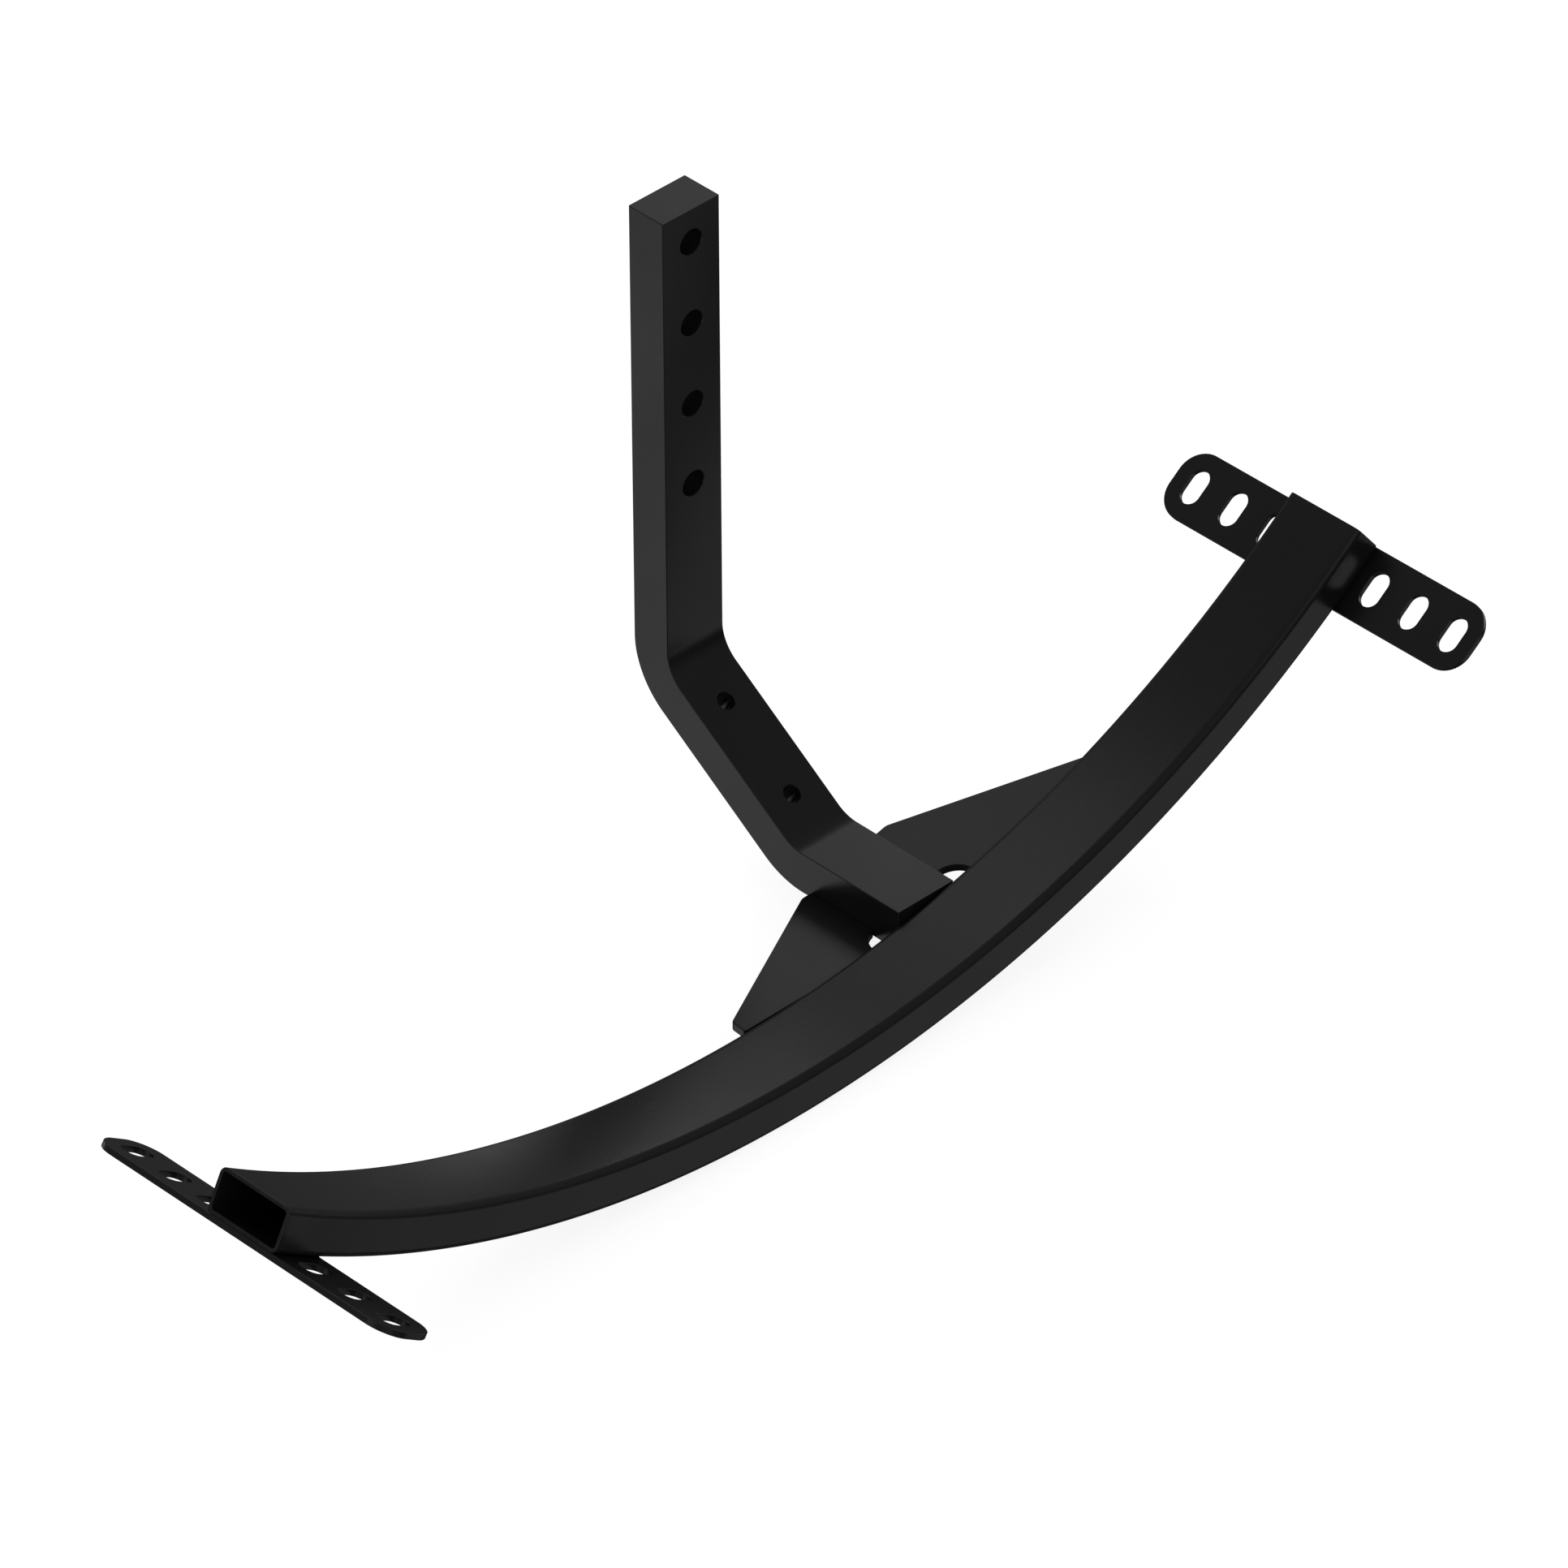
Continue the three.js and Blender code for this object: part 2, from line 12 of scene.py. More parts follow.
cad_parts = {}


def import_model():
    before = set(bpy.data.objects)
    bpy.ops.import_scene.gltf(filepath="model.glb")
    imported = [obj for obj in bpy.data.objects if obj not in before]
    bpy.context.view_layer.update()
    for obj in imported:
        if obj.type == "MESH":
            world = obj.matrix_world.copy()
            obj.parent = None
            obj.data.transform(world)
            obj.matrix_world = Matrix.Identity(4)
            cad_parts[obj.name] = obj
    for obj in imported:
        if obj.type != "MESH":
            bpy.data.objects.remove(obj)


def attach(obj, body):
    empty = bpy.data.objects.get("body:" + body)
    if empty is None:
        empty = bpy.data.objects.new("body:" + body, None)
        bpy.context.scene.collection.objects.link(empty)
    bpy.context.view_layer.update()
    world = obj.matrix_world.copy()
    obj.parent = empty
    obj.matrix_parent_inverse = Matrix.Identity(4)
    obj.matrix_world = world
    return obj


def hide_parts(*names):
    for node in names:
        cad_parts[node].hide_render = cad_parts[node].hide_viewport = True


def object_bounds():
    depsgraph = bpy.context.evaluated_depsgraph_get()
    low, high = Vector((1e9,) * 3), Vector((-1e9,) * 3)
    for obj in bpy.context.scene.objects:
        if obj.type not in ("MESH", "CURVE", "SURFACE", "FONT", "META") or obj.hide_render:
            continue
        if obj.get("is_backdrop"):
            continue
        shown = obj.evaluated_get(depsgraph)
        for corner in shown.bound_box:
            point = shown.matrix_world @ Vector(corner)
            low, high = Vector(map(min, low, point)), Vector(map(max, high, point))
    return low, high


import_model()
cad_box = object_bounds()

# ---- driving dimensions, as in the CAD model -------------------------------------------------
GAP = 0.3

TUBE_WIDTH = 63.5
TUBE_HEIGHT = 31.75
TUBE_WALL = 2.8
TUBE_CORNER = 5.2
TUBE_REAR_Y = -0.6
BOW_INNER_R = 803.5
BOW_CENTRE = Vector((-166.6, 0.0, 814.85))
BOW_LEFT_DEG = -33.9
BOW_RIGHT_DEG = 38.97
LEFT_CUT_SKEW_DEG = 6.5

PLATE_LENGTH = 274.4
PLATE_WIDTH = 50.8
PLATE_THICK = 4.5
PLATE_CORNER = 19.5
SLOT_WIDTH = 15.4
SLOT_LENGTH = 26.2
SLOT_CORNER = SLOT_WIDTH / 2 - 0.001
SLOT_OFFSETS = (47.4, 82.8, 118.3)
END_PLATES = {
    "left": {"side": -1, "degrees": -33.6, "shift": -21.6, "middle_y": -30.3},
    "right": {"side": 1, "degrees": 37.2, "shift": 0.0, "middle_y": -31.9},
}

SHANK_WIDTH = 50.8
SHANK_THICK = 31.75
SHANK_TOP = 469.9
SHANK_FRONT_Y = 216.6
UPPER_BEND_Z = 113.8
INCLINE_DEG = 35.0
BEND_INNER_R = 30.0
BIG_HOLE_D = 19.05
BIG_HOLE_TOP_DROP = 25.4
BIG_HOLE_PITCH = 63.5
BIG_HOLE_COUNT = 4
SMALL_HOLE_D = 12.7
SMALL_HOLE_AT = (35.8, 111.8)

WING_THICK = 6.35
LEFT_WING_Z = 4.76
RIGHT_WING_Z = 20.0
RIGHT_WING_DEG = 12.95
WING_REAR_Y = 81.2
LEFT_WING_FRONT_Y = 4.2
RELIEF_R = 17.6
RELIEF_Y = 6.0

LEFT_RELIEF_U = -3.7             # relief centres, from each wing's seam with the foot
RIGHT_RELIEF_U = 6.9

BEAD_LEG = 4.0
FLARE_LEG = 7.5                  # leg up the tube's rounded corner
LEDGE_LEG = 3.2                  # leg under the foot, beside the lower left wing
BEAD_RIPPLE = 2.4                # length of one ripple
RIPPLE_DEPTH = 0.07
SLOW_WANDER = 0.02               # how far a bead's width wanders, as shares of it
FAST_WANDER = 0.015
BEAD_SWELL = 0.5
BEAD_TAPER = 2.5                 # length over which a bead swells at each end
TAPER_START = 0.1                # and the share of its size that it starts from
END_INSET = 4                    # beads stop this far short of an end plate's edges
CORNER_CLEAR = 2                 # and of the tube's rounded corners
FOOT_INSET = 3                   # and of the foot's corners
LEFT_SEAM = (18, 133)            # left wing to tube, from the shank's side
RIGHT_SEAM = (28, 92)            # right wing to tube, along the wing
WING_SEAM_Y = 28                 # where the seams between wings and foot start
LEFT_SEAM_INSET = 6              # and how far they stop short of the wings' rear edges
RIGHT_SEAM_INSET = 3
SEAM_RECESS = 1.7                # the left seam's fill lies this far under the wing's top
SEAM_DIP = 2.6                   # and this far along its middle
SEAM_CROWN = 1.1

EDGE_R = 0.5                     # small rounding that blasting and coating leave on every cut edge
BAR_EDGE_R = 0.6
WING_EDGE_R = 0.6
SEAM_EDGE_R = 0.3
LIP_R = 0.5                      # the same rounding at the tube's cut ends
EDGE_STEPS = 3
HOLE_SEGMENTS = 64
HOLE_FLARE = 0.5                 # the same wear on the rims of drilled holes
MERGE_DISTANCE = 1e-6            # in metres, unlike the lengths above
REPEAT_DISTANCE = 0.01           # outline points closer than this count as one
FILL_PRECISION = 1e-6            # in millimetres, like the outlines
INSIDE_EDGES = 1                 # what delaunay_2d_cdt calls triangles enclosed by the edges
HALF_SHANK = SHANK_WIDTH / 2
BOW_OUTER_R = BOW_INNER_R + TUBE_HEIGHT
ORIGIN = Vector((
    0.0,
    SHANK_FRONT_Y,
    SHANK_TOP - BIG_HOLE_TOP_DROP - BIG_HOLE_PITCH * (BIG_HOLE_COUNT - 1) / 2,
))


def world(point):
    """A point in the welding frame, in millimetres, to the row frame in metres."""
    return (Vector(point) - ORIGIN) / 1000


# ---- mesh helpers ----------------------------------------------------------------------------
def finish_mesh(name, verts, faces, worn=None):
    """Makes an object from points in the welding frame. The attribute "edge" is 1 on its worn faces."""
    mesh = bpy.data.meshes.new(name)
    mesh.from_pydata([world(v) for v in verts], [], faces)
    layer = mesh.attributes.new("edge", "FLOAT", "FACE")
    layer.data.foreach_set("value", worn if worn else [0.0] * len(faces))
    bm = bmesh.new()
    bm.from_mesh(mesh)
    bmesh.ops.remove_doubles(bm, verts=bm.verts, dist=MERGE_DISTANCE)
    bmesh.ops.recalc_face_normals(bm, faces=bm.faces)
    bm.to_mesh(mesh)
    bm.free()
    obj = bpy.data.objects.new(name, mesh)
    bpy.context.collection.objects.link(obj)
    return obj


def shade(obj, sharp_deg=38):
    """Smooth shading that keeps edges crisper than sharp_deg, with flat faces kept flat."""
    mesh = obj.data
    mesh.shade_smooth()
    mesh.set_sharp_from_angle(angle=radians(sharp_deg))
    modifier = obj.modifiers.new("even_normals", "WEIGHTED_NORMAL")
    modifier.keep_sharp = True
    modifier.weight = 60
    apply_modifiers(obj)


def apply_modifiers(obj):
    graph = bpy.context.evaluated_depsgraph_get()
    graph.update()
    done = bpy.data.meshes.new_from_object(obj.evaluated_get(graph))
    old = obj.data
    obj.modifiers.clear()
    obj.data = done
    done.name = old.name
    bpy.data.meshes.remove(old)


def rounded_loop(corners, segments=10):
    """Corners are (x, y, radius), anticlockwise. Arcs are drawn into every corner with a radius."""
    points = []
    count = len(corners)
    for i, (x, y, radius) in enumerate(corners):
        here = Vector((x, y))
        if radius <= 0:
            points.append(here)
            continue
        before = (Vector(corners[i - 1][:2]) - here).normalized()
        after = (Vector(corners[(i + 1) % count][:2]) - here).normalized()
        half = acos(max(-1.0, min(1.0, before.dot(after)))) / 2
        centre = here + (before + after).normalized() * (radius / sin(half))
        start = here + before * (radius / tan(half)) - centre
        end = here + after * (radius / tan(half)) - centre
        begin = atan2(start.y, start.x)
        sweep = atan2(end.y, end.x) - begin
        if sweep > pi:
            sweep -= 2 * pi
        if sweep < -pi:
            sweep += 2 * pi
        for k in range(segments + 1):
            angle = begin + sweep * k / segments
            points.append(centre + Vector((cos(angle), sin(angle))) * radius)
    return points


def rectangle(cx, cy, width, height, radius, segments=10):
    a, b = width / 2, height / 2
    corners = [(cx - a, cy - b), (cx + a, cy - b), (cx + a, cy + b), (cx - a, cy + b)]
    return rounded_loop([(x, y, radius) for x, y in corners], segments)


def drop_repeats(loop, least=REPEAT_DISTANCE):
    kept = []
    for point in loop:
        if not kept or (point - kept[-1]).length > least:
            kept.append(point)
    if (kept[0] - kept[-1]).length <= least:
        kept.pop()
    return kept


def inset_loop(loop, distance):
    """Moves a loop towards its left side, which is where the material is."""
    moved = []
    count = len(loop)
    for i, here in enumerate(loop):
        a = (here - loop[i - 1]).normalized()
        b = (loop[(i + 1) % count] - here).normalized()
        left_a = Vector((-a.y, a.x))
        left_b = Vector((-b.y, b.x))
        middle = left_a + left_b
        middle /= max(0.35, middle.dot(left_a))
        moved.append(here + middle * distance)
    return moved


def fill_faces(loops):
    """Triangles that fill the first loop and leave out the others, as indices into all their points.

    Every hole is convex, so a triangle with all its corners on one hole lies inside that hole.
    """
    points = []
    owners = []
    edges = []
    for number, loop in enumerate(loops):
        start = len(points)
        count = len(loop)
        points += [Vector((p.x, p.y)) for p in loop]
        owners += [number] * count
        edges += [(start + i, start + (i + 1) % count) for i in range(count)]
    filled = delaunay_2d_cdt(points, edges, [], INSIDE_EDGES, FILL_PRECISION)
    origins = [origin[0] for origin in filled[3]]
    faces = []
    for face in filled[2]:
        order = [origins[i] for i in face]
        rings = {owners[i] for i in order}
        if len(rings) == 1 and 0 not in rings:
            continue
        a, b, c = (points[i] for i in order)
        faces.append(order if (b - a).cross(c - a) > 0 else order[::-1])
    return faces


def slab_mesh(loops, thickness, place, edge_r, open_walls=()):
    """The points, faces and worn marks of a plate, rounded at both faces.

    loops[0] is the outline, anticlockwise, and the others are holes, clockwise. The outline's walls
    that are listed in open_walls are left out.
    """
    levels = []
    for k in range(EDGE_STEPS + 1):
        angle = radians(90 * k / EDGE_STEPS)
        levels.append((edge_r * (1 - cos(angle)), edge_r * (1 - sin(angle))))
    levels += [(thickness - depth, inset) for depth, inset in reversed(levels)]
    verts = []
    faces = []
    worn = []
    first_ring = {}
    for number, loop in enumerate(loops):
        for level, (depth, inset) in enumerate(levels):
            first_ring[(number, level)] = len(verts)
            for point in inset_loop(loop, inset):
                verts.append(place(point.x, point.y, depth))
    for number, loop in enumerate(loops):
        count = len(loop)
        for level in range(len(levels) - 1):
            a = first_ring[(number, level)]
            b = first_ring[(number, level + 1)]
            for i in range(count):
                if level == EDGE_STEPS and number == 0 and i in open_walls:
                    continue
                j = (i + 1) % count
                faces.append((a + i, a + j, b + j, b + i))
                worn.append(0.0 if level == EDGE_STEPS else 1.0)
    cap = fill_faces([inset_loop(loop, levels[0][1]) for loop in loops])
    for level, turned in ((0, True), (len(levels) - 1, False)):
        lookup = []
        for number, loop in enumerate(loops):
            start = first_ring[(number, level)]
            lookup += list(range(start, start + len(loop)))
        for face in cap:
            order = [lookup[i] for i in face]
            faces.append(order[::-1] if turned else order)
            worn.append(0.0)
    return verts, faces, worn


def slab(name, loops, thickness, place, edge_r=EDGE_R):
    loops = [drop_repeats(loop) for loop in loops]
    return finish_mesh(name, *slab_mesh(loops, thickness, place, edge_r))


# ---- bowed tube ------------------------------------------------------------------------------
BOW_STEPS = 180
SKEW_FADE = 4                    # the skewed cut fades out over the first 1/4 of the bow
LIP_STEP = 0.3                   # the lip's middle ring, as a share of the lip
LEAST_CORNER = 0.6


def bow_point(r, y, degrees_at, share):
    """A point of the tube. The skewed cut lengthens the concave side at the left end."""
    skew = tan(radians(LEFT_CUT_SKEW_DEG)) * (BOW_OUTER_R - r) / r * max(0.0, 1 - SKEW_FADE * share)
    angle = radians(degrees_at) - skew
    return BOW_CENTRE + Vector((r * sin(angle), y, -r * cos(angle)))


def tube_section(inset, corner):
    middle_r = (BOW_INNER_R + BOW_OUTER_R) / 2
    middle_y = TUBE_REAR_Y - TUBE_WIDTH / 2
    loop = rectangle(middle_r, middle_y, TUBE_HEIGHT - 2 * inset, TUBE_WIDTH - 2 * inset, corner, 12)
    return drop_repeats(loop)


def bowed_tube():
    span = BOW_RIGHT_DEG - BOW_LEFT_DEG
    per_mm = 180 / pi / BOW_INNER_R / span
    step = LIP_R * LIP_STEP
    stations = [(0.0, LIP_R), (step * per_mm, step), (LIP_R * per_mm, 0.0)]
    stations += [(k / BOW_STEPS, 0.0) for k in range(1, BOW_STEPS)]
    stations += [(1 - share, inset) for share, inset in reversed(stations[:3])]
    verts = []
    faces = []
    rings = []
    for wall, corner in ((0.0, TUBE_CORNER), (TUBE_WALL, TUBE_CORNER - TUBE_WALL)):
        for share, lip_inset in stations:
            shift = lip_inset if wall == 0 else -lip_inset
            loop = tube_section(wall + shift, max(LEAST_CORNER, corner - shift))
            rings.append(len(verts))
            for point in loop:
                verts.append(bow_point(point.x, point.y, BOW_LEFT_DEG + span * share, share))
    count = len(tube_section(0.0, TUBE_CORNER))
    total = len(stations)
    pairs = [(rings[k], rings[k + 1]) for k in range(total - 1)]
    pairs += [(rings[total + k + 1], rings[total + k]) for k in range(total - 1)]
    pairs += [(rings[total], rings[0]), (rings[total - 1], rings[2 * total - 1])]
    worn = []
    lips = 2
    for number, (a, b) in enumerate(pairs):
        along = number % (total - 1)
        at_end = number >= 2 * (total - 1) or along < lips or along >= total - 1 - lips
        for i in range(count):
            j = (i + 1) % count
            faces.append((a + i, a + j, b + j, b + i))
            worn.append(1.0 if at_end else 0.0)
    return finish_mesh("tube_bow", verts, faces, worn)


# ---- end plates ------------------------------------------------------------------------------
def end_frame(end):
    """The place of a plate's inner face: its middle, outward along its slope, and off the bow."""
    angle = radians(end["degrees"])
    side = end["side"]
    along = Vector((side * cos(angle), 0, side * sin(angle)))
    away = Vector((sin(angle), 0, -cos(angle)))
    return BOW_CENTRE + away * BOW_OUTER_R + along * end["shift"], along, away


def end_plate(name, end):
    base, along, away = end_frame(end)
    loops = [rectangle(0, 0, PLATE_WIDTH, PLATE_LENGTH, PLATE_CORNER, 16)]
    for offset in SLOT_OFFSETS:
        for way in (-1, 1):
            slot = rectangle(0, way * offset, SLOT_LENGTH, SLOT_WIDTH, SLOT_CORNER, 14)
            loops.append(slot[::-1])

    def place(s, y, depth):
        at = base + along * (s * end["side"]) + away * (GAP + depth)
        return Vector((at.x, y + end["middle_y"], at.z))

    return slab(name, loops, PLATE_THICK, place)


# ---- shank -----------------------------------------------------------------------------------
def arc(centre, radius, from_deg, to_deg, steps=20):
    points = []
    for k in range(steps + 1):
        angle = radians(from_deg + (to_deg - from_deg) * k / steps)
        points.append(Vector((centre.x + radius * cos(angle), centre.y + radius * sin(angle))))
    return points


class DrilledHole:
    """A hole through the bar from a point of its side profile, square to the wall there."""

    def __init__(self, mouth, inward, diameter):
        self.radius = diameter / 2
        self.inward = inward
        self.ends = (mouth, mouth + inward * SHANK_THICK)

    def ring(self, depth, radius):
        """A ring around the hole's axis, as (profile point, x) pairs."""
        across = Vector((-self.inward.y, self.inward.x))
        centre = self.ends[0] + self.inward * depth
        points = []
        for k in range(HOLE_SEGMENTS):
            angle = 2 * pi * k / HOLE_SEGMENTS
            at = centre + across * radius * cos(angle)
            points.append((at, SHANK_WIDTH / 2 + radius * sin(angle)))
        return points

    def rim(self, end):
        return self.ring(end * SHANK_THICK, self.radius + HOLE_FLARE)

    def wall_rings(self):
        return [
            self.rim(0),
            self.ring(HOLE_FLARE, self.radius),
            self.ring(SHANK_THICK - HOLE_FLARE, self.radius),
            self.rim(1),
        ]


def wall_under(loop, point):
    """The number of the profile's straight wall that a point lies on."""
    for i, a in enumerate(loop):
        b = loop[(i + 1) % len(loop)]
        along = (b - a).normalized()
        reach = (point - a).dot(along)
        aside = abs((point - a).cross(along))
        if aside < 0.01 and 0 < reach < (b - a).length:
            return i
    raise ValueError(f"no wall under {point}")


def drilled_wall(loop, wall, rims, edge_r):
    """The points and faces of one wall of the bar, with the rims cut out of it."""
    a = loop[wall]
    b = loop[(wall + 1) % len(loop)]
    along = (b - a).normalized()
    low, high = edge_r, SHANK_WIDTH - edge_r
    outline = [(a, low), (b, low), (b, high), (a, high)]
    rings = [outline] + rims
    flat = [[Vector(((at - a).dot(along), x)) for at, x in ring] for ring in rings]
    verts = [bar_place(at.x, at.y, x) for ring in rings for at, x in ring]
    return verts, fill_faces(flat)


def bar_place(y, z, x):
    return Vector((x - HALF_SHANK, y, z))


def bar_profile():
    slope = radians(INCLINE_DEG)
    lower_y = SHANK_FRONT_Y - (UPPER_BEND_Z - SHANK_THICK) / tan(slope)
    upper_rise = BEND_INNER_R * tan((pi / 2 - slope) / 2)
    upper = Vector((SHANK_FRONT_Y - BEND_INNER_R, UPPER_BEND_Z + upper_rise))
    lower = Vector((lower_y - BEND_INNER_R * tan(slope / 2), SHANK_THICK + BEND_INNER_R))
    outer = BEND_INNER_R + SHANK_THICK
    front = TUBE_REAR_Y + GAP
    return drop_repeats([
        Vector((front, 0)),
        *arc(lower, outer, -90, -90 + INCLINE_DEG),
        *arc(upper, outer, -90 + INCLINE_DEG, 0),
        Vector((SHANK_FRONT_Y + SHANK_THICK, SHANK_TOP)),
        Vector((SHANK_FRONT_Y, SHANK_TOP)),
        *arc(upper, BEND_INNER_R, 0, -90 + INCLINE_DEG),
        *arc(lower, BEND_INNER_R, -90 + INCLINE_DEG, -90),
        Vector((front, SHANK_THICK)),
    ])


def bar_holes():
    slope = radians(INCLINE_DEG)
    holes = []
    for i in range(BIG_HOLE_COUNT):
        mouth = Vector((SHANK_FRONT_Y, SHANK_TOP - BIG_HOLE_TOP_DROP - i * BIG_HOLE_PITCH))
        holes.append(DrilledHole(mouth, Vector((1, 0)), BIG_HOLE_D))
    for at in SMALL_HOLE_AT:
        mouth = Vector((SHANK_FRONT_Y - at * cos(slope), UPPER_BEND_Z - at * sin(slope)))
        holes.append(DrilledHole(mouth, Vector((sin(slope), -cos(slope))), SMALL_HOLE_D))
    return holes


def shank():
    loop = bar_profile()
    holes = bar_holes()
    rims = {}
    for hole in holes:
        for end in (0, 1):
            rims.setdefault(wall_under(loop, hole.ends[end]), []).append(hole.rim(end))
    verts, faces, worn = slab_mesh([loop], SHANK_WIDTH, bar_place, BAR_EDGE_R, tuple(rims))
    for wall, wall_rims in rims.items():
        more_verts, more_faces = drilled_wall(loop, wall, wall_rims, BAR_EDGE_R)
        faces += [[len(verts) + i for i in face] for face in more_faces]
        worn += [0.0] * len(more_faces)
        verts += more_verts
    for hole in holes:
        rings = hole.wall_rings()
        for number, ring in enumerate(rings):
            base = len(verts)
            deeper = base + HOLE_SEGMENTS
            verts += [bar_place(at.x, at.y, x) for at, x in ring]
            if number + 1 == len(rings):
                continue
            for k in range(HOLE_SEGMENTS):
                after = (k + 1) % HOLE_SEGMENTS
                faces.append((base + k, base + after, deeper + after, deeper + k))
                worn.append(0.0 if number == 1 else 1.0)
    return finish_mesh("shank_bar", verts, faces, worn)


# ---- gusset wings ----------------------------------------------------------------------------
def wing_outline(corners, relief_u):
    """A wing's outline with the round relief cut out of its corner beside the foot.

    The first corner lies at the foot and the tube, and is replaced by the relief's arc.
    """
    x0, y0, _ = corners[0]
    begin = acos((x0 - relief_u) / RELIEF_R)
    steps = 24
    relief = []
    for k in range(steps + 1):
        angle = begin * (1 - k / steps)
        relief.append((relief_u + RELIEF_R * cos(angle), RELIEF_Y + RELIEF_R * sin(angle), 0))
    relief.append((relief_u + RELIEF_R, y0, 0))
    return rounded_loop(relief + corners[1:])


def left_wing():
    corners = [
        (0, LEFT_WING_FRONT_Y, 0),
        (135.6, LEFT_WING_FRONT_Y, 1.5),
        (134.6, 17.6, 4.5),
        (8.6, WING_REAR_Y, 8),
        (0, WING_REAR_Y, 0),
    ]

    def place(u, y, depth):
        return Vector((-(HALF_SHANK + GAP + u), y, LEFT_WING_Z - depth))

    outline = wing_outline(corners, LEFT_RELIEF_U)
    return slab("gusset_wing_left", [outline], WING_THICK, place, WING_EDGE_R)


def right_wing():
    front = TUBE_REAR_Y + GAP
    corners = [
        (0, front, 0),
        (151, front, 1.5),
        (151, 12.3, 4.5),
        (18.2, WING_REAR_Y, 8),
        (0, WING_REAR_Y, 0),
    ]
    turn = radians(RIGHT_WING_DEG)

    def place(u, y, depth):
        x = HALF_SHANK + GAP + u * cos(turn) + depth * sin(turn)
        return Vector((x, y, RIGHT_WING_Z + u * sin(turn) - depth * cos(turn)))

    outline = wing_outline(corners, RIGHT_RELIEF_U)
    return slab("gusset_wing_right", [outline], WING_THICK, place, WING_EDGE_R)


# ---- weld beads ------------------------------------------------------------------------------
def weld_bead(name, start, end, leg_a, leg_b, long_a, long_b):
    """A rippled fillet weld from start to end, in the corner that leg_a and leg_b point out of."""
    start, end = Vector(start), Vector(end)
    leg_a, leg_b = Vector(leg_a), Vector(leg_b)
    length = (end - start).length
    per_ripple = 6
    rings = max(12, int(length / BEAD_RIPPLE) * per_ripple)
    arc_steps = 8
    verts = []
    faces = []
    for i in range(rings + 1):
        share = i / rings
        near_end = min(share, 1 - share) * length
        lack = 1 - min(1.0, near_end / BEAD_TAPER)
        taper = min(1.0, sqrt(max(0.0, 1 - lack ** 2)) * (1 - TAPER_START) + TAPER_START)
        phase = (i % per_ripple) / per_ripple
        ripple = 1 - RIPPLE_DEPTH * phase ** 2
        travel = share * length
        wander = 1 + SLOW_WANDER * sin(travel * 0.9) + FAST_WANDER * sin(travel * 2.3 + 1)
        at = start.lerp(end, share)
        verts.append(at.copy())
        for k in range(arc_steps + 1):
            t = k / arc_steps
            swell = (1 + BEAD_SWELL * t * (1 - t)) * taper
            if 0 < k < arc_steps:
                swell *= ripple
            swell *= wander if 0 < k < arc_steps else min(1.0, wander)
            verts.append(at + leg_a * (long_a * (1 - t) * swell) + leg_b * (long_b * t * swell))
    size = arc_steps + 2
    for i in range(rings):
        for k in range(size):
            a = i * size + k
            b = i * size + (k + 1) % size
            faces.append((a, b, b + size, a + size))
    faces.append(tuple(range(size)))
    faces.append(tuple(range(rings * size, (rings + 1) * size)))
    return finish_mesh(name, verts, faces)


